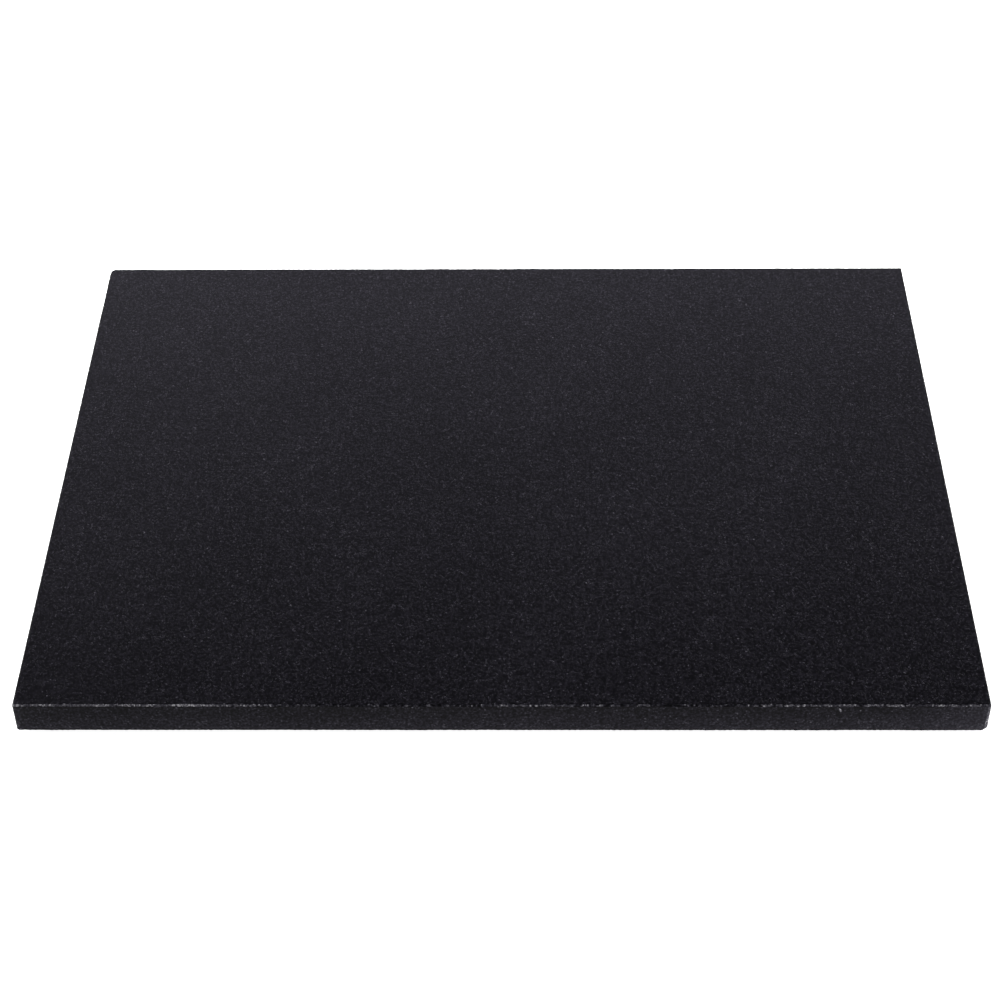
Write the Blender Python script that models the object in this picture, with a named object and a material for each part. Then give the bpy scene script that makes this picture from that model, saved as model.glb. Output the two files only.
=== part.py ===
"""A granite slab for leather work: one block of dark stone standing on four rubber bumper feet.

Units are metres, +Z is up. The origin is on the surface that the feet stand on, under the
slab's centre. +X runs along the slab's long side, and its front edge faces -Y.
"""

import math

import bmesh
import bpy

# The stone.
SLAB_WIDTH = 0.4064  # along X, 16 in
SLAB_DEPTH = 0.3048  # along Y, 12 in
SLAB_THICKNESS = 0.015875  # along Z, 5/8 in
ARRIS_WIDTH = 0.0007  # the eased strip along every edge of the stone
ARRIS_SEGMENTS = 2

# The feet: moulded bumpers, a little narrower where they stand than where they are stuck on.
FOOT_DIAMETER = 0.0127
FOOT_HEIGHT = 0.003
FOOT_SIDE_DRAFT = 0.0005  # how far the side leans in from the top edge to the sole
FOOT_SOLE_RADIUS = 0.0008  # the rounding between the side and the sole
FOOT_INSET = 0.0254  # from the slab's edges to a foot's centre
FOOT_SOLE_SEGMENTS = 4
ROUND_SEGMENTS = 48

# The disc of double-sided foam tape between each foot and the stone.
TAPE_THICKNESS = 0.0008
TAPE_MARGIN = 0.0003  # how far the disc's rim sits inside the foot's

JOIN_GAP = 0.0003  # left between two pieces that are stuck together

MERGE_DISTANCE = 1e-7
SHARP_ANGLE = math.radians(30)

# Heights above the surface that the feet stand on, each stacked on the one before.
TAPE_BOTTOM = FOOT_HEIGHT + JOIN_GAP
TAPE_TOP = TAPE_BOTTOM + TAPE_THICKNESS
SLAB_BOTTOM = TAPE_TOP + JOIN_GAP

FOOT_CORNERS = {
    "front_left": (-1, -1),
    "front_right": (1, -1),
    "back_left": (-1, 1),
    "back_right": (1, 1),
}


def clear_scene():
    for old in list(bpy.data.objects):
        bpy.data.objects.remove(old, do_unlink=True)


def make_material(name, colour, roughness):
    material = bpy.data.materials.new(name)
    material.use_nodes = True
    shader = material.node_tree.nodes["Principled BSDF"]
    shader.inputs["Base Color"].default_value = (*colour, 1.0)
    shader.inputs["Roughness"].default_value = roughness
    shader.inputs["Metallic"].default_value = 0.0
    return material


def add_object(name, mesh, location, parent):
    piece = bpy.data.objects.new(name, mesh)
    bpy.context.scene.collection.objects.link(piece)
    piece.location = location
    piece.parent = parent
    return piece


def slab_mesh(material):
    """The block before its edges are eased, standing on its own z = 0."""
    mesh = bpy.data.meshes.new("slab")
    bm = bmesh.new()
    bmesh.ops.create_cube(bm, size=1.0)
    bmesh.ops.scale(bm, vec=(SLAB_WIDTH, SLAB_DEPTH, SLAB_THICKNESS), verts=bm.verts)
    bmesh.ops.translate(bm, vec=(0.0, 0.0, SLAB_THICKNESS / 2), verts=bm.verts)
    bm.to_mesh(mesh)
    bm.free()
    mesh.materials.append(material)
    return mesh


def turned_mesh(name, outline, material):
    """Turns an outline about Z. It runs from the axis at the bottom, out, up and back to the axis."""
    mesh = bpy.data.meshes.new(name)
    bm = bmesh.new()
    points = [bm.verts.new((radius, 0.0, height)) for radius, height in outline]
    edges = [bm.edges.new(pair) for pair in zip(points, points[1:])]
    bmesh.ops.spin(
        bm,
        geom=points + edges,
        cent=(0.0, 0.0, 0.0),
        axis=(0.0, 0.0, 1.0),
        angle=math.tau,
        steps=ROUND_SEGMENTS,
        use_merge=True,
    )
    bmesh.ops.remove_doubles(bm, verts=bm.verts, dist=MERGE_DISTANCE)
    bmesh.ops.recalc_face_normals(bm, faces=bm.faces)
    bm.to_mesh(mesh)
    bm.free()
    mesh.shade_smooth()
    mesh.set_sharp_from_angle(angle=SHARP_ANGLE)
    mesh.materials.append(material)
    return mesh


def foot_outline():
    """Half of a foot's section: a flat sole, a rounded edge, a side with draft and a flat top."""
    top_radius = FOOT_DIAMETER / 2
    lean = math.atan2(FOOT_SIDE_DRAFT, FOOT_HEIGHT)
    sole_corner = top_radius - FOOT_SIDE_DRAFT
    # The rounding touches the sole and the leaning side, so its centre lies on their bisector.
    reach = FOOT_SOLE_RADIUS * math.tan((math.pi / 2 - lean) / 2)
    centre_radius = sole_corner - reach
    outline = [(0.0, 0.0)]
    for step in range(FOOT_SOLE_SEGMENTS + 1):
        turn = (math.pi / 2 - lean) * step / FOOT_SOLE_SEGMENTS
        outline.append(
            (
                centre_radius + FOOT_SOLE_RADIUS * math.sin(turn),
                FOOT_SOLE_RADIUS * (1 - math.cos(turn)),
            )
        )
    outline.append((top_radius, FOOT_HEIGHT))
    outline.append((0.0, FOOT_HEIGHT))
    return outline


def tape_outline():
    radius = FOOT_DIAMETER / 2 - TAPE_MARGIN
    return [(0.0, 0.0), (radius, 0.0), (radius, TAPE_THICKNESS), (0.0, TAPE_THICKNESS)]


def build_slab(parent):
    granite = make_material("black_granite", (0.012, 0.012, 0.014), 0.35)
    slab = add_object("granite_slab", slab_mesh(granite), (0.0, 0.0, SLAB_BOTTOM), parent)
    arris = slab.modifiers.new("eased_edges", "BEVEL")
    arris.width = ARRIS_WIDTH
    arris.segments = ARRIS_SEGMENTS
    arris.limit_method = "NONE"
    return slab


def build_feet(parent):
    """Four feet, each with its tape disc, the same distance in from both of its corner's edges."""
    rubber = make_material("black_rubber", (0.02, 0.02, 0.02), 0.8)
    foam = make_material("foam_tape", (0.08, 0.08, 0.085), 0.7)
    foot = turned_mesh("foot", foot_outline(), rubber)
    tape = turned_mesh("tape", tape_outline(), foam)
    for corner, (side, end) in FOOT_CORNERS.items():
        x = side * (SLAB_WIDTH / 2 - FOOT_INSET)
        y = end * (SLAB_DEPTH / 2 - FOOT_INSET)
        add_object(f"foot_{corner}", foot, (x, y, 0.0), parent)
        add_object(f"adhesive_disc_{corner}", tape, (x, y, TAPE_BOTTOM), parent)


def main():
    clear_scene()
    board = bpy.data.objects.new("slab_on_feet", None)
    bpy.context.scene.collection.objects.link(board)
    build_slab(board)
    build_feet(board)


main()
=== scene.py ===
"""The looks of a granite slab for leather work: its stone, its feet and the studio round it."""

import itertools
import math

import bpy
import numpy as np
from mathutils import Matrix, Vector


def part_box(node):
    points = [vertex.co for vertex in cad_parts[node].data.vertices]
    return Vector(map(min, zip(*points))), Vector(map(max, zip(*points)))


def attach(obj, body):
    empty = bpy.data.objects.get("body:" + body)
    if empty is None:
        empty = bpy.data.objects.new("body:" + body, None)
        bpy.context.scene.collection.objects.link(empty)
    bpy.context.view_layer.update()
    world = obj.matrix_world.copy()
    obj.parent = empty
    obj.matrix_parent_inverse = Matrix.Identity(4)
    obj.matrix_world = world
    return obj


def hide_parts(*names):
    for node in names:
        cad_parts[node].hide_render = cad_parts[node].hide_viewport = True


MM = 0.001
TINY = 1e-9  # keeps a division by a length of zero away
CORNERS = ("front_left", "front_right", "back_left", "back_right")

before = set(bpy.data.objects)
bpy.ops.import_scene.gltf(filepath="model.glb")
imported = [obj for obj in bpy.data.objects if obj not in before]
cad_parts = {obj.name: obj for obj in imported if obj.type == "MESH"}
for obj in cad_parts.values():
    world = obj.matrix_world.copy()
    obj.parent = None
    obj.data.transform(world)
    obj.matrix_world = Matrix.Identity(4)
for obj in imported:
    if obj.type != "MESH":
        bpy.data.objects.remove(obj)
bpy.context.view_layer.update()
SLAB_LOW, SLAB_HIGH = (np.array(corner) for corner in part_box("granite_slab"))
HALF = (SLAB_HIGH - SLAB_LOW)[:2] / 2

# The camera, measured from the middle of the slab's top.
CAMERA_OFFSET = (0.0113, -0.7904, 0.6917)
CAMERA_PITCH = math.radians(42.13)
CAMERA_YAW = math.radians(-0.926)
CAMERA_ROLL = math.radians(-0.669)
CAMERA_LENS = 81.35
CAMERA_SENSOR = 36.0
CAMERA_CLIP = (0.01, 50)

# The stone's surface mesh before it is worn: points once round the slab, and where its rows lie.
STEPS_X, STEPS_Y = 640, 480  # points along a long and a short side
CORNER_REACH = 0.06  # near a corner, as a share of a side's half length, the points lie closer
CORNER_SPACING = 0.3  # their spacing at the corner against that in the middle
SHARP_ARRIS = 0.4 * MM  # the radius of the arrises before they are ground
ARRIS_ROWS = 4
NEAR_ROWS = np.array([0.5, 0.75, 1.1, 1.7, 2.6]) * MM  # from the edge, on the flats and the sides
SIDE_ROWS = np.array([4.0, 5.6]) * MM  # further down the sides
WIDE_ROWS = np.array([4.0, 6.5, 11.0, 19.0]) * MM  # each has half the points of the one before

# Round corners in plan, and how far the arrises are ground back.
CORNER_ROUND = 0.8 * MM
WORN_CORNER_ROUND = 4.0 * MM  # the back left one
GROUND_WIDTH = 0.70 * MM
PLAIN_ARRIS_CRUSHED = 0.10  # how crushed the arrises are, apart from the front top one
BROKEN = 0.45  # stone crushed more than this looks broken, whichever way it faces
CRUSHED = "crushed"  # the mesh attribute that carries how crushed the stone is, with painted highlights on the front top arris and the front right upright corner
STONE_SMOOTH_ANGLE = math.radians(24)

# Which material a face gets goes by its normal: along an axis it is at least FACING, and a side's
# stands up or down by less than LEANING.
FACING = 0.985
LEANING = 0.12

# Small chips on the arrises, drawn by chance. Lengths are in millimetres.
CHIP_COUNT = 90
CHIP_REACH = 0.985  # the share of a side's length that they keep within
CHIPS_ON_LONG_SIDES = 0.57
CHIP_DEPTH = 0.07  # the usual depth
CHIP_DEPTH_SPREAD = 0.5
CHIP_DEPTH_LIMIT = 0.22
CHIP_RADII = (1.2, 3.5)

# Chips with a place of their own: x and y as shares of the slab's half sizes, 1 for the top or -1
# for the underside, then depth and radius in millimetres.
DEEP_CHIPS = (
    (0.42, 1, 1, 0.30, 2.6),
    (1, 0.30, -1, 0.30, 2.2),
)
CORNER_CHIPS = (
    (1, -1, -1, 1.15, 9.0),
    (-1, -1, -1, 0.5, 3.0),
    (-1, 1, 1, 0.4, 3.5),
    (1, 1, -1, 0.6, 4.0),
)

# A pit in the front face: the hollow of a ball whose centre lies just outside the face.
PIT_PLACE = 0.6915  # share of the half width, from the middle
PIT_DROP = NEAR_ROWS[-1]  # below the top
PIT_OUTSIDE = 0.8 * MM
PIT_RADIUS = 0.88 * MM
PIT_CRUSHED = 6.0  # far above 1, so that dust covers it whole

# Seeds of the random draws, one for each.
CHIP_SEED = 5
ARRIS_GRAIN_SEED = 11
ARRIS_DRIFT_SEED = 12
BROKEN_STONE_SEED = 21
UNEVEN_SIDE_SEED = 22
TAPE_RIM_SEED = 31

ROUND_STEPS = 96  # points once round a foot or a disc of tape
ROUND_SMOOTH_ANGLE = math.radians(35)

# The dish in a foot's sole, with a fine groove round its middle: radius and height in millimetres.
SOLE_DISH = (
    (0.0, 0.16),
    (1.0, 0.15),
    (1.15, 0.22),
    (1.35, 0.22),
    (1.5, 0.14),
    (3.4, 0.05),
    (4.2, 0.0),
)

# The floor, in metres, and how much it glows.
FLOOR_SIZE = 20.0
FLOOR_GLOW = 0.88

# Soft lights, aimed at the slab: name, place, size and power in watts.
SOFTBOXES = (
    ("key", (0.0, 0.50, 0.52), (1.2, 0.4), 17.2),
    ("fill", (0.60, -1.0, 0.12), (1.2, 0.2), 8.0),
)

# The studio's walls: how bright they are by the sine of the height above the floor. They are pale
# near the floor and dark above it, up to a bright band that the back of the polished top mirrors,
# and dark again overhead. They are tilted a little, which makes the top paler on its left.
WALL_TILT = 0.09
WALL_TONES = (
    (0.0, (0.70, 0.70, 0.71)),
    (0.12, (0.64, 0.64, 0.66)),
    (0.24, (0.20, 0.195, 0.21)),
    (0.34, (0.11, 0.107, 0.12)),
    (0.45, (0.11, 0.107, 0.12)),
    (0.50, (0.50, 0.482, 0.56)),
    (0.57, (0.48, 0.462, 0.537)),
    (0.60, (0.205, 0.198, 0.230)),
    (0.66, (0.175, 0.169, 0.197)),
    (0.72, (0.045, 0.043, 0.050)),
    (0.78, (0.015, 0.0143, 0.0168)),
)


# ---------------------------------------------------------------- small tools


def smooth(low, high, value):
    """0 below low, 1 above high and an even curve between."""
    share = np.clip((value - low) / (high - low), 0, 1)
    return share * share * (3 - 2 * share)


def ripple(points, wavelength, seed, waves=14):
    """Smooth random hills through space, mostly within -1 to 1."""
    rng = np.random.default_rng(seed)
    directions = rng.normal(size=(waves, 3))
    directions /= np.linalg.norm(directions, axis=1, keepdims=True)
    pitch = 2 * math.pi / wavelength * rng.uniform(0.6, 1.6, (waves, 1))
    phases = rng.uniform(0, 2 * math.pi, waves)
    return np.sin(points @ (directions * pitch).T + phases).sum(1) / math.sqrt(waves)


# ---------------------------------------------------------------- the stone's mesh


def side_places(steps):
    """Places along a side from -1 to 1, closer together near its ends, where the corners are round."""
    middle = (np.arange(steps) + 0.5) / steps * 2 - 1
    spacing = CORNER_SPACING + (1 - CORNER_SPACING) * smooth(0, CORNER_REACH, 1 - np.abs(middle))
    places = np.concatenate([[0], np.cumsum(spacing)])
    return places / places[-1] * 2 - 1


def round_trip():
    """Once round the slab from its front left corner, as shares of its half width and half depth."""
    x, y = side_places(STEPS_X)[:-1], side_places(STEPS_Y)[:-1]
    sides = [(x, -1.0), (1.0, y), (-x, 1.0), (-1.0, -y)]
    return np.concatenate([np.stack(np.broadcast_arrays(*side), 1) for side in sides])


TRIP = round_trip()


def ring(inset, height, stride=1):
    """A loop of points this far in from the slab's sides, with its corners rounded."""
    half = HALF - inset
    plan = TRIP[::stride] * half
    worn = (plan[:, 0] < 0) & (plan[:, 1] > 0)
    radius = np.maximum(np.where(worn, WORN_CORNER_ROUND, CORNER_ROUND) - inset, 0)[:, None]
    towards = np.sign(plan)
    centre = towards * (half - radius)
    out = plan - centre
    in_corner = (out * towards > 0).all(1, keepdims=True)
    length = np.maximum(np.linalg.norm(out, axis=1, keepdims=True), TINY)
    plan = np.where(in_corner, centre + out / length * radius, plan)
    return np.column_stack([plan, np.full(len(plan), height)])


def section():
    """The rows of points from the top, over the side to the underside, as (inset, height)."""
    top, bottom = SLAB_HIGH[2], SLAB_LOW[2]
    turns = np.linspace(0, math.pi / 2, ARRIS_ROWS)
    rows = [(inset, 0.0) for inset in NEAR_ROWS[::-1]]
    rows += [(SHARP_ARRIS * (1 - math.sin(t)), SHARP_ARRIS * (1 - math.cos(t))) for t in turns]
    rows += [(0.0, drop) for drop in np.concatenate([NEAR_ROWS, SIDE_ROWS])]
    upper = [(inset, top - drop) for inset, drop in rows]
    lower = [(inset, bottom + drop) for inset, drop in rows[::-1]]
    return upper + [(0.0, (top + bottom) / 2)] + lower


class Surface:
    """Gathers points and faces, each face with its corners' places on the unwrapped map."""

    def __init__(self):
        self.points = np.zeros((0, 3))
        self.faces = []
        self.places = []

    def add_points(self, points):
        first = len(self.points)
        self.points = np.concatenate([self.points, points])
        return np.arange(first, first + len(points))

    def add_faces(self, corners, places):
        """corners is faces x corners; places is the same with two numbers for each corner."""
        self.faces.append(corners)
        self.places.append(places)


# The unwrapped map: the top takes most of it, above the four sides and a flattened underside.
MAP_MARGIN = 0.004
MAP_TOP_WIDTH = 0.915
MAP_SIDE_HEIGHT = 0.034


def flat_places(points, low, size):
    """Places on the map for points seen from above, in a box of this size at low."""
    share = (points[..., :2] / HALF + 1) / 2
    return np.array(low) + share * np.array(size)


TOP_MAP_SIZE = (MAP_TOP_WIDTH, MAP_TOP_WIDTH * HALF[1] / HALF[0])
TOP_MAP_LOW = (MAP_MARGIN, 1 - MAP_MARGIN - TOP_MAP_SIZE[1])
LONG_SIDE_LOWS = [TOP_MAP_LOW[1] - (n + 1) * (MAP_SIDE_HEIGHT + MAP_MARGIN) for n in range(2)]
SHORT_SIDE_LOWS = [
    MAP_MARGIN + MAP_TOP_WIDTH + MAP_MARGIN + n * (MAP_SIDE_HEIGHT + MAP_MARGIN) for n in range(2)
]
UNDER_MAP_LOW = (MAP_MARGIN, MAP_MARGIN)
UNDER_MAP_SIZE = (MAP_TOP_WIDTH, LONG_SIDE_LOWS[1] - 2 * MAP_MARGIN)


def strip_faces(upper, lower):
    """Four-cornered faces between two loops with as many points each, facing up or out."""
    return np.stack([upper, lower, np.roll(lower, -1), np.roll(upper, -1)], 1)


def add_flat(surface, loop, height, upward):
    """Fills a loop with ever coarser loops and a grid, flat at this height."""
    low, size = (TOP_MAP_LOW, TOP_MAP_SIZE) if upward else (UNDER_MAP_LOW, UNDER_MAP_SIZE)

    def add(corners):
        corners = corners if upward else corners[:, ::-1]
        surface.add_faces(corners, flat_places(surface.points[corners], low, size))

    stride = 1
    for inset in WIDE_ROWS:
        stride *= 2
        inner = surface.add_points(ring(inset, height, stride))
        start, middle, end = loop[::2], loop[1::2], np.roll(loop, -2)[::2]
        following = np.roll(inner, -1)
        add(np.stack([inner, start, middle], 1))
        add(np.stack([inner, middle, following], 1))
        add(np.stack([following, middle, end], 1))
        loop = inner
    across, along = STEPS_X // stride, STEPS_Y // stride
    front, right, back, left = np.split(loop, np.cumsum([across, along, across]))
    grid = np.zeros((along + 1, across + 1), int)
    grid[0, :-1] = front
    grid[:-1, -1] = right
    grid[-1, :0:-1] = back
    grid[:0:-1, 0] = left
    x = surface.points[grid[0, 1:-1], 0]
    y = surface.points[grid[1:-1, -1], 1]
    inside = np.stack(np.meshgrid(x, y), -1).reshape(-1, 2)
    inside = np.column_stack([inside, np.full(len(inside), height)])
    grid[1:-1, 1:-1] = surface.add_points(inside).reshape(along - 1, across - 1)
    cells = [grid[:-1, :-1], grid[:-1, 1:], grid[1:, 1:], grid[1:, :-1]]
    add(np.stack([cell.ravel() for cell in cells], 1))


def add_side(surface, rows, loops):
    """The faces between the top's last row and the underside's first, unwrapped as four strips."""
    reach = np.concatenate([[0], np.cumsum(np.hypot(*np.diff(rows, axis=0).T))])
    v = MAP_SIDE_HEIGHT * (1 - reach / reach[-1])
    first = 0
    for side, steps in enumerate((STEPS_X, STEPS_Y, STEPS_X, STEPS_Y)):
        u = (side_places(steps) + 1) / 2
        picked = np.arange(first, first + steps)
        for row in range(len(rows) - 1):
            corners = strip_faces(loops[row], loops[row + 1])[picked]
            places = np.zeros((steps, 4, 2))
            places[:, :2, 0], places[:, 2:, 0] = u[:-1, None], u[1:, None]
            places[:, (0, 3), 1], places[:, (1, 2), 1] = v[row], v[row + 1]
            if side % 2:
                places = places[..., ::-1] * (1, TOP_MAP_SIZE[1])
                places += (SHORT_SIDE_LOWS[side // 2], TOP_MAP_LOW[1])
            else:
                places = places * (TOP_MAP_SIZE[0], 1) + (MAP_MARGIN, LONG_SIDE_LOWS[side // 2])
            surface.add_faces(corners, places)
        first += steps


def slab_surface():
    surface = Surface()
    rows = section()
    loops = [surface.add_points(ring(inset, height)) for inset, height in rows]
    near = len(NEAR_ROWS)
    for row in range(near):
        for upper, lower, low, size in (
            (loops[row], loops[row + 1], TOP_MAP_LOW, TOP_MAP_SIZE),
            (loops[-row - 2], loops[-row - 1], UNDER_MAP_LOW, UNDER_MAP_SIZE),
        ):
            corners = strip_faces(upper, lower)
            surface.add_faces(corners, flat_places(surface.points[corners], low, size))
    add_side(surface, rows[near : len(rows) - near], loops[near : len(loops) - near])
    add_flat(surface, loops[0], rows[0][1], True)
    add_flat(surface, loops[-1], rows[-1][1], False)
    return surface


# ---------------------------------------------------------------- wear on the stone, with painted highlights on its front arris and corner


def grind(points, axis, side, up, width):
    """Takes a 45 degree strip off one long edge, this wide at each point, and returns the depth taken."""
    face = SLAB_HIGH[2] if up > 0 else SLAB_LOW[2]
    from_side = HALF[axis] - side * points[:, axis]
    from_face = up * (face - points[:, 2])
    taken = np.maximum(width - from_side - from_face, 0) / 2
    points[:, axis] -= side * taken
    points[:, 2] -= up * taken
    return taken


def bite(points, centre, radius):
    """Pushes the points inside a ball out to its surface, as a flake leaves a hollow."""
    out = points - centre
    distance = np.linalg.norm(out, axis=1)
    taken = np.maximum(radius - distance, 0)
    points += out / np.maximum(distance, TINY)[:, None] * taken[:, None]
    return taken


def chip_on_arris(points, x, y, up, depth, radius):
    """One chip on an arris or corner. x and y are shares of the half sizes, and 1 or -1 names a side."""
    place = np.array([x, y])
    on_side = np.abs(place) >= 1
    face = SLAB_HIGH[2] if up > 0 else SLAB_LOW[2]
    outward = np.append(np.sign(place) * on_side, up) / math.sqrt(on_side.sum() + 1)
    corner = np.append(place * HALF, face)
    surface_point = corner - outward * GROUND_WIDTH / math.sqrt(2)
    return bite(points, surface_point + outward * (radius - depth), radius)


def front_arris_wear_and_highlight(points):
    """How crushed the front top arris is along its length: most at its left end. Its extra whiteness over
    the other arrises is partly crushed stone and partly a painted highlight.
    """
    share = points[:, 0] / HALF[0]
    ends = smooth(0.42, 0.6, np.abs(share))
    left_end = smooth(0.45, 0.7, -share)
    middle = np.exp(-(((share - 0.11) / 0.12) ** 2))
    return 0.25 + 0.22 * ends + 0.42 * left_end + 0.18 * middle


def grind_arrises(points):
    """Grinds all the long edges in place. Returns how crushed the stone is at each point."""
    crushed = np.zeros(len(points))
    grain = ripple(points, 2.2 * MM, ARRIS_GRAIN_SEED)
    drift = ripple(points, 26 * MM, ARRIS_DRIFT_SEED)
    width = GROUND_WIDTH * (1 + 0.07 * drift + 0.12 * grain)
    for axis, side, up in itertools.product((0, 1), (-1, 1), (-1, 1)):
        taken = grind(points, axis, side, up, width)
        front_top = axis == 1 and side < 0 and up > 0
        # On the front top arris the crush is partly real and partly a painted highlight from the front
        # light.
        amount = front_arris_wear_and_highlight(points) if front_top else PLAIN_ARRIS_CRUSHED
        crushed = np.maximum(crushed, smooth(0, 0.08 * MM, taken) * amount)
    return crushed


def chance_chips():
    """The small chips, in the form of DEEP_CHIPS. Two thirds of them are on the top's edges."""
    rng = np.random.default_rng(CHIP_SEED)
    for _ in range(CHIP_COUNT):
        along = rng.uniform(-CHIP_REACH, CHIP_REACH)
        on_long_side = rng.random() < CHIPS_ON_LONG_SIDES
        side = rng.choice((-1, 1))
        up = rng.choice((1, 1, -1))
        x, y = (along, side) if on_long_side else (side, along)
        depth = min(rng.lognormal(math.log(CHIP_DEPTH), CHIP_DEPTH_SPREAD), CHIP_DEPTH_LIMIT)
        yield x, y, up, depth, rng.uniform(*CHIP_RADII)


def corner_wear(points):
    """How crushed the four upright corners are, and the stone near the knocked front right one. The front
    right upright corner's extra paleness is partly a painted highlight.
    """
    from_corner = np.linalg.norm(np.abs(points[:, :2]) - HALF, axis=1)
    front_right = (points[:, 0] > 0) & (points[:, 1] < 0)
    # Painted highlight, in part: the front right upright corner gets three times the crush of the others,
    # standing in for light from the right falling on it.
    worn = np.where(front_right, 0.75, 0.25) * (1 - smooth(0.9 * MM, 1.8 * MM, from_corner))
    from_knock = np.hypot(from_corner, points[:, 2] - SLAB_LOW[2])
    knock = 1 - smooth(1.0 * MM, 6.0 * MM, from_knock)
    scuff = 1 - smooth(0, 45 * MM, from_corner)
    below_arris = points[:, 2] < SLAB_HIGH[2] - GROUND_WIDTH
    bruise = (0.18 * scuff + 0.26 * knock) * front_right * below_arris
    return np.maximum(worn, bruise)


def wear_slab(points):
    """Grinds and chips the edges in place. Returns how crushed the stone is at each point: 0 is
    sound stone, 1 is a corner knocked off, and the pit has more. On the front top arris and the front
    right upright corner it also carries a painted highlight."""
    crushed = grind_arrises(points)
    for chips, amount, fade in (
        (chance_chips(), 0.7, 0.05 * MM),
        (DEEP_CHIPS, 0.85, 0.05 * MM),
        (CORNER_CHIPS, 1.0, 0.1 * MM),
    ):
        for x, y, up, depth, radius in chips:
            taken = chip_on_arris(points, x, y, up, depth * MM, radius * MM)
            crushed = np.maximum(crushed, amount * smooth(0, fade, taken))
    pit = (PIT_PLACE * HALF[0], -HALF[1] - PIT_OUTSIDE, SLAB_HIGH[2] - PIT_DROP)
    pit_taken = bite(points, pit, PIT_RADIUS)
    crushed = np.maximum(crushed, PIT_CRUSHED * smooth(0, 0.05 * MM, pit_taken))
    return np.maximum(crushed, corner_wear(points))


def roughen(points, normals, crushed):
    """Breaks up crushed stone and makes the sides a little uneven. Only ever cuts inwards."""
    fine = 0.5 + 0.5 * ripple(points, 1.6 * MM, BROKEN_STONE_SEED)
    points -= normals * (0.06 * MM * crushed * np.clip(fine, 0, 1))[:, None]
    side = (np.abs(normals[:, 2]) < 0.2)[:, None]
    uneven = 0.5 + 0.5 * np.clip(ripple(points, 14 * MM, UNEVEN_SIDE_SEED), -1, 1)
    points -= side * normals * (0.03 * MM * uneven)[:, None]
    bottom, top = SLAB_LOW[2], SLAB_HIGH[2]
    np.clip(points, [*-HALF, bottom], [*HALF, top], out=points)


def mesh_from(name, surface, smooth_angle):
    mesh = bpy.data.meshes.new(name)
    faces = [face for group in surface.faces for face in group.tolist()]
    mesh.from_pydata(surface.points, [], faces)
    layer = mesh.uv_layers.new(name="OFBake")
    places = np.concatenate([group.reshape(-1, 2) for group in surface.places])
    layer.data.foreach_set("uv", places.astype(np.float32).ravel())
    mesh.shade_smooth()
    mesh.set_sharp_from_angle(angle=smooth_angle)
    return mesh


def vertex_normals(mesh):
    normals = np.zeros(len(mesh.vertices) * 3, np.float32)
    mesh.vertices.foreach_get("normal", normals)
    return normals.reshape(-1, 3).astype(float)


# ---------------------------------------------------------------- materials


def add_node(tree, kind, inputs=None, **settings):
    """A node with its settings. An input given as a socket is joined, and any other value is set."""
    node = tree.nodes.new(kind)
    for name, value in settings.items():
        setattr(node, name, value)
    for name, value in (inputs or {}).items():
        if isinstance(value, bpy.types.NodeSocket):
            tree.links.new(value, node.inputs[name])
        else:
            node.inputs[name].default_value = value
    return node


def calc(tree, operation, a, b=0.0, c=0.0):
    node = add_node(tree, "ShaderNodeMath", {0: a, 1: b, 2: c}, operation=operation)
    return node.outputs[0]


def remap(tree, value, low, high, to_low=0.0, to_high=1.0):
    inputs = {"Value": value, "From Min": low, "From Max": high, "To Min": to_low, "To Max": to_high}
    node = add_node(tree, "ShaderNodeMapRange", inputs, interpolation_type="SMOOTHSTEP")
    return node.outputs["Result"]


def noise(tree, place, size, detail=2.0, roughness=0.5):
    """Noise from 0 to 1 whose features are about this many millimetres across."""
    inputs = {"Vector": place, "Scale": 1 / size, "Detail": detail, "Roughness": roughness}
    return add_node(tree, "ShaderNodeTexNoise", inputs).outputs["Fac"]


def turned(tree, place, angles, stretch):
    """The place turned and then stretched, which draws long grains that lie one way."""
    inputs = {"Vector": place, "Rotation": angles, "Scale": stretch}
    return add_node(tree, "ShaderNodeMapping", inputs).outputs["Vector"]


def grains(tree, place, size, share, inner, outer):
    """Mineral grains of this size. A share of them show, each as bright as chance has it."""
    cell = add_node(tree, "ShaderNodeTexVoronoi", {"Vector": place, "Scale": 1 / size})
    chance = add_node(tree, "ShaderNodeSeparateColor", {0: cell.outputs["Color"]})
    shown = calc(tree, "LESS_THAN", chance.outputs["Red"], share)
    body = remap(tree, cell.outputs["Distance"], inner, outer, 1.0, 0.0)
    bright = calc(tree, "POWER", chance.outputs["Green"], 1.2)
    return calc(tree, "MULTIPLY", calc(tree, "MULTIPLY", shown, body), bright)


def total(tree, *terms):
    """The sum of weight x value over the terms."""
    result = 0.0
    for weight, value in terms:
        result = calc(tree, "MULTIPLY_ADD", value, weight, result)
    return result


def ramp(tree, value, *stops):
    """A colour for each value, straight between the stops, given as (value, colour)."""
    node = add_node(tree, "ShaderNodeValToRGB", {"Fac": value})
    points = node.color_ramp.elements
    while len(points) < len(stops):
        points.new(1.0)
    for point, (position, colour) in zip(points, stops):
        point.position = position
        point.color = (*colour, 1.0)
    return node.outputs["Color"]


def new_material(name):
    """A material, its tree, its shader and the place on the object in millimetres."""
    material = bpy.data.materials.new(name)
    material.use_nodes = True
    tree = material.node_tree
    shader = tree.nodes["Principled BSDF"]
    place = add_node(tree, "ShaderNodeTexCoord").outputs["Object"]
    scaled = add_node(tree, "ShaderNodeVectorMath", {0: place, "Scale": 1 / MM}, operation="SCALE")
    return material, tree, shader, scaled.outputs[0]


def join_bump(tree, shader, height, depth):
    """Bump from a height of 0 to 1, whose full range stands for this depth in metres."""
    bump = add_node(tree, "ShaderNodeBump", {"Height": height, "Distance": depth, "Strength": 1.0})
    tree.links.new(bump.outputs["Normal"], shader.inputs["Normal"])


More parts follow.
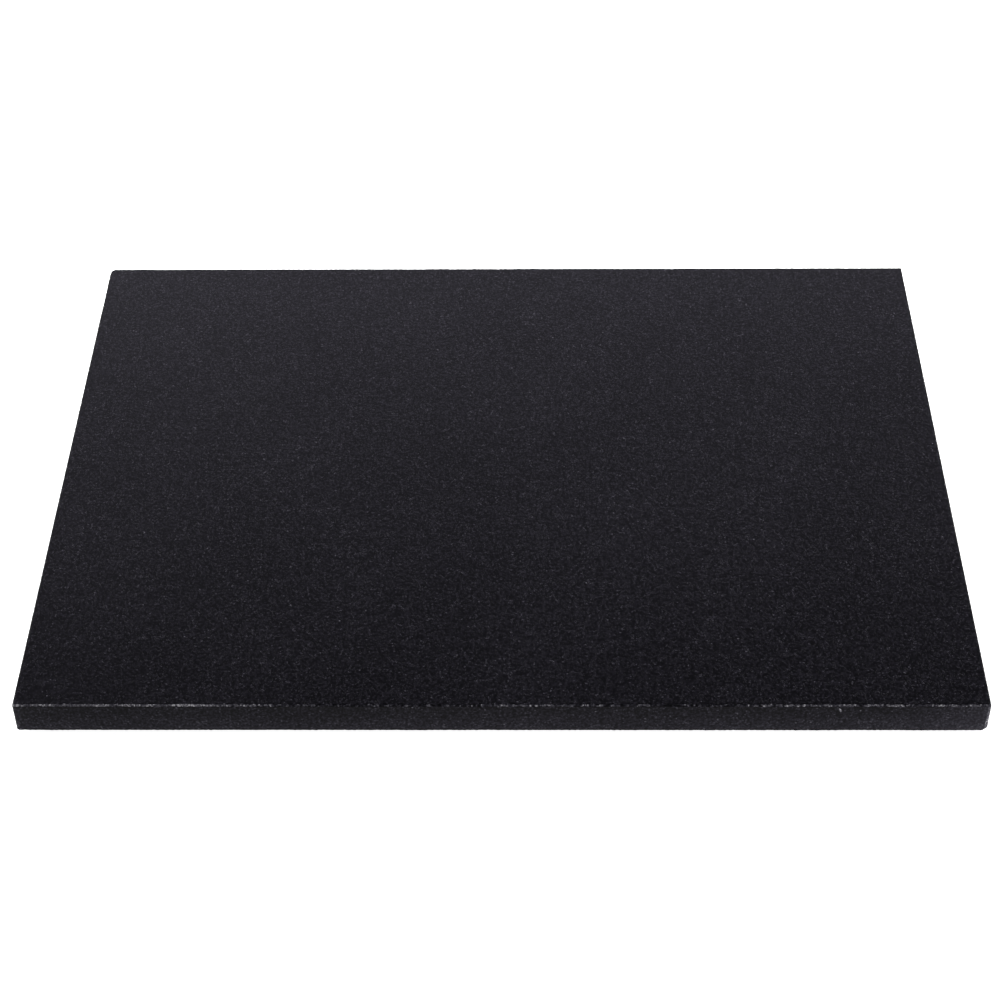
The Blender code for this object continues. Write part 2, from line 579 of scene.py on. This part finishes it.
def stone_pattern(tree, place):
    """Black minerals with pale flecks. Returns how pale the stone is, its fine mottle, its flecks."""
    cloud = noise(tree, place, 42, 2.0)
    patch = remap(tree, noise(tree, place, 5.0, 2.0), 0.34, 0.66, 0.5, 1.5)
    mottle = noise(tree, place, 0.8, 2.0, 0.6)
    mineral = remap(tree, noise(tree, place, 1.25, 1.0), 0.38, 0.62)
    sizes = (
        # size in mm, share of the cells that show, inner and outer edge of a grain, turn
        (1.25, 0.12, 0.15, 0.45, (0.0, 0.0, 0.3)),
        (1.15, 0.60, 0.20, 0.55, (0.8, 0.3, 0.1)),
        (0.90, 0.40, 0.20, 0.60, (0.4, 0.9, 0.2)),
    )
    flecks, dots, small = (
        grains(
            tree,
            turned(tree, place, turn, (1.0, 1.0, 1.0)),
            size,
            calc(tree, "MULTIPLY", patch, share),
            inner,
            outer,
        )
        for size, share, inner, outer, turn in sizes
    )
    laths = [
        grains(tree, turned(tree, place, (0.0, 0.0, angle), stretch), 1.0, share, 0.1, 0.42)
        for angle, stretch, share in (
            (0.5, (0.55, 2.0, 1.4), 0.12),
            (1.7, (0.6, 1.8, 1.6), 0.12),
            (2.6, (0.5, 2.2, 1.5), 0.10),
        )
    ]
    lath = calc(tree, "MAXIMUM", laths[0], calc(tree, "MAXIMUM", laths[1], laths[2]))
    pale = total(
        tree,
        (0.06, cloud),
        (0.24, mottle),
        (0.12, mineral),
        (0.36, flecks),
        (0.22, dots),
        (0.20, small),
        (0.24, lath),
    )
    return pale, mottle, flecks


def stone_colour(tree, pale):
    return ramp(
        tree,
        pale,
        (0.05, (0.0003, 0.00028, 0.0004)),
        (0.20, (0.0019, 0.0018, 0.0025)),
        (0.38, (0.0112, 0.0104, 0.0141)),
        (0.62, (0.0325, 0.0310, 0.0385)),
        (0.90, (0.1180, 0.1150, 0.1270)),
        (1.00, (0.3000, 0.2950, 0.3100)),
    )


def how_crushed(tree):
    """What wear_slab left at each point of the mesh."""
    return add_node(tree, "ShaderNodeAttribute", attribute_name=CRUSHED).outputs["Fac"]


def polished_stone():
    """The top. The polish evens out the grains a little."""
    material, tree, shader, place = new_material("polished_granite")
    pale, mottle, flecks = stone_pattern(tree, place)
    haze = noise(tree, place, 70, 3.0)
    rough = total(tree, (0.06, haze), (0.08, mottle), (-0.05, flecks))
    even = calc(tree, "MULTIPLY_ADD", pale, 0.90, 0.029)
    tree.links.new(stone_colour(tree, even), shader.inputs["Base Color"])
    tree.links.new(calc(tree, "ADD", rough, 0.12), shader.inputs["Roughness"])
    relief = total(tree, (0.5, mottle), (0.3, flecks))
    join_bump(tree, shader, relief, 0.015 * MM)
    return material


def honed_stone():
    """The sides: matt, with faint marks along them, and painted bounce light that makes them paler
    towards the underside and darker towards the top.
    """
    material, tree, shader, place = new_material("honed_granite")
    pale, mottle, _ = stone_pattern(tree, place)
    marks = noise(tree, turned(tree, place, (0.0, 0.0, 0.0), (0.12, 0.12, 2.2)), 1.0, 3.0, 0.6)
    height = add_node(tree, "ShaderNodeSeparateXYZ", {0: place}).outputs["Z"]
    # Painted light: drop makes the sides paler near the underside and darker near the top, standing in
    # for light bounced up from the floor.
    drop = remap(tree, height, SLAB_LOW[2] / MM, SLAB_HIGH[2] / MM, 0.045, -0.085)
    crushed = how_crushed(tree)
    lighter = total(
        tree, (1.05, pale), (0.10, marks), (0.04, mottle), (1.0, drop), (0.5, crushed)
    )
    tree.links.new(stone_colour(tree, lighter), shader.inputs["Base Color"])
    rough = total(tree, (0.12, marks), (0.08, mottle))
    tree.links.new(calc(tree, "ADD", rough, 0.42), shader.inputs["Roughness"])
    join_bump(tree, shader, total(tree, (0.5, marks), (0.5, mottle)), 0.02 * MM)
    shader.inputs["Specular IOR Level"].default_value = 0.05
    return material


def ground_stone():
    """The arrises and chips: broken grains, the whiter the more the stone was crushed."""
    material, tree, shader, place = new_material("ground_granite")
    pale, mottle, _ = stone_pattern(tree, place)
    crushed = how_crushed(tree)
    turned_place = turned(tree, place, (0.7, 0.2, 1.2), (1.0, 1.0, 1.0))
    grit = grains(tree, turned_place, 0.9, 0.8, 0.2, 0.6)
    # The white is crushed stone; on the front top arris and the front right upright corner it is partly a
    # painted highlight.
    dust = total(tree, (1.0, crushed), (1.6, noise(tree, place, 1.5, 2.0)))
    cover = remap(tree, dust, 0.92, 1.35)
    thick = remap(tree, noise(tree, place, 9.0, 1.0), 0.35, 0.65, 0.8, 1.3)
    white = calc(tree, "MULTIPLY", cover, total(tree, (0.50, grit), (0.85, mottle)))
    broken = total(tree, (0.8, pale), (0.08, crushed))
    tree.links.new(
        stone_colour(tree, calc(tree, "MULTIPLY_ADD", white, thick, broken)),
        shader.inputs["Base Color"],
    )
    tree.links.new(calc(tree, "MULTIPLY_ADD", mottle, 0.2, 0.65), shader.inputs["Roughness"])
    join_bump(tree, shader, total(tree, (0.5, mottle), (0.5, grit)), 0.06 * MM)
    shader.inputs["Specular IOR Level"].default_value = 0.12
    return material


def sawn_stone():
    """The underside, as the saw left it: greyer, with long shallow marks."""
    material, tree, shader, place = new_material("sawn_granite")
    pale, mottle, _ = stone_pattern(tree, place)
    marks = noise(tree, turned(tree, place, (0.0, 0.0, 0.06), (0.02, 0.9, 1.0)), 1.0, 3.0, 0.6)
    wide = noise(tree, turned(tree, place, (0.0, 0.0, 0.06), (0.004, 0.16, 1.0)), 1.0, 1.0)
    lighter = total(tree, (0.75, pale), (0.16, marks), (0.12, wide), (0.20, mottle))
    tree.links.new(stone_colour(tree, lighter), shader.inputs["Base Color"])
    tree.links.new(calc(tree, "MULTIPLY_ADD", mottle, 0.15, 0.7), shader.inputs["Roughness"])
    join_bump(tree, shader, total(tree, (0.4, marks), (0.4, wide), (0.2, mottle)), 0.08 * MM)
    shader.inputs["Specular IOR Level"].default_value = 0.2
    return material


def rubber(name):
    """Black moulded rubber with a faint bloom, scuffed pale where it stands on the bench."""
    material, tree, shader, place = new_material(name)
    fine = noise(tree, place, 0.25, 3.0)
    bloom = noise(tree, place, 3.0, 2.0)
    height = add_node(tree, "ShaderNodeSeparateXYZ", {0: place}).outputs["Z"]
    worn = remap(tree, height, 0.0, 0.7, 1.0, 0.0)
    scuff = calc(tree, "MULTIPLY", worn, remap(tree, fine, 0.4, 0.65))
    pale = total(tree, (0.30, bloom), (0.25, fine), (0.40, scuff))
    colour = ramp(tree, pale, (0.1, (0.007, 0.007, 0.0072)), (1.0, (0.040, 0.039, 0.037)))
    tree.links.new(colour, shader.inputs["Base Color"])
    rough = total(tree, (0.12, bloom), (0.10, fine))
    tree.links.new(calc(tree, "ADD", rough, 0.58), shader.inputs["Roughness"])
    join_bump(tree, shader, fine, 0.02 * MM)
    return material


def foam_tape(name):
    """Grey foam with open cells, 0.16 mm across."""
    material, tree, shader, place = new_material(name)
    cell = add_node(tree, "ShaderNodeTexVoronoi", {"Vector": place, "Scale": 1 / 0.16})
    cells = cell.outputs["Distance"]
    dust = noise(tree, place, 1.4, 2.0)
    pale = total(tree, (0.5, cells), (0.4, dust))
    colour = ramp(tree, pale, (0.0, (0.10, 0.10, 0.104)), (1.0, (0.30, 0.30, 0.305)))
    tree.links.new(colour, shader.inputs["Base Color"])
    tree.links.new(calc(tree, "MULTIPLY_ADD", cells, 0.3, 0.6), shader.inputs["Roughness"])
    join_bump(tree, shader, cells, 0.05 * MM)
    return material


# ---------------------------------------------------------------- pieces


def add_piece(name, mesh, node):
    piece = bpy.data.objects.new(name, mesh)
    bpy.context.scene.collection.objects.link(piece)
    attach(piece, "root")
    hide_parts(node)
    return piece


def slot_of_each_face(mesh, crushed):
    """0 the polished top, 1 the honed sides, 2 ground and broken edges, 3 the sawn underside."""
    normals = np.zeros(len(mesh.polygons) * 3, np.float32)
    mesh.polygons.foreach_get("normal", normals)
    x, y, z = normals.reshape(-1, 3).T
    slots = np.full(len(z), 2)
    slots[(np.maximum(np.abs(x), np.abs(y)) > FACING) & (np.abs(z) < LEANING)] = 1
    slots[z > FACING] = 0
    slots[z < -FACING] = 3
    corners, first, count = (np.zeros(size, np.int32) for size in (len(mesh.loops), len(z), len(z)))
    mesh.loops.foreach_get("vertex_index", corners)
    mesh.polygons.foreach_get("loop_start", first)
    mesh.polygons.foreach_get("loop_total", count)
    broken = np.add.reduceat(crushed[corners], first) / count > BROKEN
    slots[broken & (slots < 3)] = 2
    return slots


def make_slab():
    surface = slab_surface()
    crushed = wear_slab(surface.points)
    rough_mesh = mesh_from("unfinished", surface, STONE_SMOOTH_ANGLE)
    roughen(surface.points, vertex_normals(rough_mesh), crushed)
    bpy.data.meshes.remove(rough_mesh)
    mesh = mesh_from("slab_stone", surface, STONE_SMOOTH_ANGLE)
    attribute = mesh.attributes.new(CRUSHED, "FLOAT", "POINT")
    attribute.data.foreach_set("value", crushed.astype(np.float32))
    for material in (polished_stone(), honed_stone(), ground_stone(), sawn_stone()):
        mesh.materials.append(material)
    mesh.polygons.foreach_set("material_index", slot_of_each_face(mesh, crushed).astype(np.int32))
    return add_piece("slab_stone", mesh, "granite_slab")


def arc(centre, radius, start, end, steps):
    """Points along an arc, as (radius from the axis, height). Angles are in degrees."""
    turns = [math.radians(start + (end - start) * n / steps) for n in range(steps + 1)]
    return [(centre[0] + radius * math.cos(t), centre[1] + radius * math.sin(t)) for t in turns]


def turned_surface(outline):
    """Turns an outline about Z, from the axis at the bottom, out, up and back to the axis."""
    surface = Surface()
    around = ROUND_STEPS
    angles = np.arange(around) / around * 2 * math.pi
    loops = []
    for radius, height in outline[1:-1]:
        heights = np.full(around, height)
        loop = np.column_stack([radius * np.cos(angles), radius * np.sin(angles), heights])
        loops.append(surface.add_points(loop))
    ends = [surface.add_points(np.array([[0.0, 0.0, outline[n][1]]]))[0] for n in (0, -1)]
    length = np.concatenate([[0], np.cumsum(np.hypot(*np.diff(outline, axis=0).T))])
    v = length / length[-1]
    share = np.arange(around + 1) / around

    def places(first, second):
        corners = np.zeros((around, 4, 2))
        corners[:, :2, 0], corners[:, 2:, 0] = share[:-1, None], share[1:, None]
        corners[:, (0, 3), 1], corners[:, (1, 2), 1] = v[first], v[second]
        return corners

    for row in range(len(loops) - 1):
        surface.add_faces(strip_faces(loops[row + 1], loops[row]), places(row + 2, row + 1))
    for centre, loop, row in ((ends[0], loops[0], 0), (ends[1], loops[-1], len(outline) - 1)):
        fan = np.stack([np.full(around, centre), loop, np.roll(loop, -1)], 1)
        corner_places = places(row, 1 if row == 0 else row - 1)[:, :3]
        if row == 0:
            fan, corner_places = fan[:, ::-1], corner_places[:, ::-1]
        surface.add_faces(fan, corner_places)
    return surface


def foot_outline(radius, height):
    """A moulded bumper: a sole with a shallow dish, a rounded edge, a leaning side and a thin flash."""
    lean, sole_round, top_round, flash = 0.5 * MM, 0.8 * MM, 0.25 * MM, 0.10 * MM
    sole = radius - lean
    dish = [(r * MM, z * MM) for r, z in SOLE_DISH]
    edge = arc((sole - sole_round, sole_round), sole_round, -90, 0, 8)
    band = height - 0.55 * MM
    upper = [(radius - flash - 0.06 * MM, band), (radius - flash, band + 0.08 * MM)]
    rim = [(radius, band + 0.12 * MM), (radius, band + 0.2 * MM), (radius - flash, band + 0.24 * MM)]
    top = arc((radius - flash - top_round, height - top_round), top_round, 0, 90, 5)
    return dish + edge + upper + rim + top + [(0.0, height)]


def tape_outline(radius, low, high):
    """A foam disc pressed between the foot and the stone, so its rim bulges a little."""
    film, bulge = 0.12 * MM, 0.12 * MM
    rim = [(radius - bulge, low), (radius - bulge, low + film)]
    rim += arc((radius - bulge, (low + high) / 2), (high - low) / 2 - film, -80, 80, 8)
    rim = [(min(r, radius), z) for r, z in rim]
    rim += [(radius - bulge, high - film), (radius - bulge, high)]
    return [(0.0, low)] + rim + [(0.0, high)]


def squeeze(points, corner):
    """How far a disc's points lie in from a true round: it was stuck down by hand."""
    out = points * (1, 1, 0)
    return out * (0.012 * (ripple(points + corner, 5 * MM, TAPE_RIM_SEED) - 1.5))[:, None]


def add_round_piece(name, surface, material, place, node):
    mesh = mesh_from(name, surface, ROUND_SMOOTH_ANGLE)
    mesh.materials.append(material)
    piece = add_piece(name, mesh, node)
    piece.location = (place[0], place[1], 0)


def make_feet():
    """A bumper at each corner and the tape above it, which fills the gap up to the stone."""
    black, grey = rubber("bumper_rubber"), foam_tape("foam_tape_grey")
    for number, corner in enumerate(CORNERS):
        foot_node, tape_node = f"foot_{corner}", f"adhesive_disc_{corner}"
        foot_low, foot_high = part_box(foot_node)
        tape_low, tape_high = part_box(tape_node)
        place = (foot_low + foot_high) / 2
        foot_radius = (foot_high - foot_low)[0] / 2
        tape_radius = (tape_high - tape_low)[0] / 2
        foot = turned_surface(foot_outline(foot_radius, foot_high[2]))
        tape = turned_surface(tape_outline(tape_radius, foot_high[2], SLAB_LOW[2]))
        tape.points += squeeze(tape.points, number)
        add_round_piece(f"bumper_{corner}", foot, black, place, foot_node)
        add_round_piece(f"tape_{corner}", tape, grey, place, tape_node)


# ---------------------------------------------------------------- studio


def add_softbox(name, place, size, power):
    """A soft light that lights everything evenly but isn't mirrored in the polish."""
    data = bpy.data.lights.new(name, "AREA")
    data.shape = "RECTANGLE"
    data.size, data.size_y = size
    data.energy = power
    lamp = bpy.data.objects.new(name, data)
    bpy.context.scene.collection.objects.link(lamp)
    lamp.location = place
    aim = Vector((0.0, 0.0, 0.0)) - Vector(place)
    lamp.rotation_euler = aim.to_track_quat("-Z", "Y").to_euler()
    lamp.visible_glossy = False
    lamp.visible_camera = False


def make_world():
    """The studio's walls, whose tones the polished top mirrors."""
    world = bpy.data.worlds.new("studio")
    world.use_nodes = True
    tree = world.node_tree
    direction = add_node(tree, "ShaderNodeTexCoord").outputs["Generated"]
    part = add_node(tree, "ShaderNodeSeparateXYZ", {0: direction})
    height = calc(tree, "MULTIPLY_ADD", part.outputs["X"], WALL_TILT, part.outputs["Z"])
    wall = ramp(tree, height, *WALL_TONES)
    tree.links.new(wall, tree.nodes["Background"].inputs["Color"])
    bpy.context.scene.world = world


def make_floor():
    """A light table: it glows a little, so the shadows on it stay pale."""
    bpy.ops.mesh.primitive_plane_add(size=FLOOR_SIZE, location=(0, 0, 0))
    floor = bpy.context.object
    floor.name = "studio_floor"
    material, tree, shader, place = new_material("pale_floor")
    tone = noise(tree, place, 300, 2.0)
    colour = ramp(tree, tone, (0.0, (0.88, 0.88, 0.88)), (1.0, (0.92, 0.92, 0.92)))
    tree.links.new(colour, shader.inputs["Base Color"])
    shader.inputs["Roughness"].default_value = 0.8
    shader.inputs["Specular IOR Level"].default_value = 0.1
    shader.inputs["Emission Color"].default_value = (1.0, 1.0, 1.0, 1.0)
    shader.inputs["Emission Strength"].default_value = FLOOR_GLOW
    floor.data.materials.append(material)


def make_camera():
    data = bpy.data.cameras.new("camera")
    data.lens, data.sensor_width = CAMERA_LENS, CAMERA_SENSOR
    data.clip_start, data.clip_end = CAMERA_CLIP
    camera = bpy.data.objects.new("camera", data)
    bpy.context.scene.collection.objects.link(camera)
    place = np.array(CAMERA_OFFSET) + (0, 0, SLAB_HIGH[2])
    camera.matrix_world = (
        Matrix.Translation(place)
        @ Matrix.Rotation(-CAMERA_YAW, 4, "Z")
        @ Matrix.Rotation(math.pi / 2 - CAMERA_PITCH, 4, "X")
        @ Matrix.Rotation(CAMERA_ROLL, 4, "Z")
    )
    bpy.context.scene.camera = camera


def make_studio():
    bpy.context.scene.view_settings.view_transform = "Standard"
    make_world()
    make_floor()
    make_camera()
    for softbox in SOFTBOXES:
        add_softbox(*softbox)


make_slab()
make_feet()
make_studio()
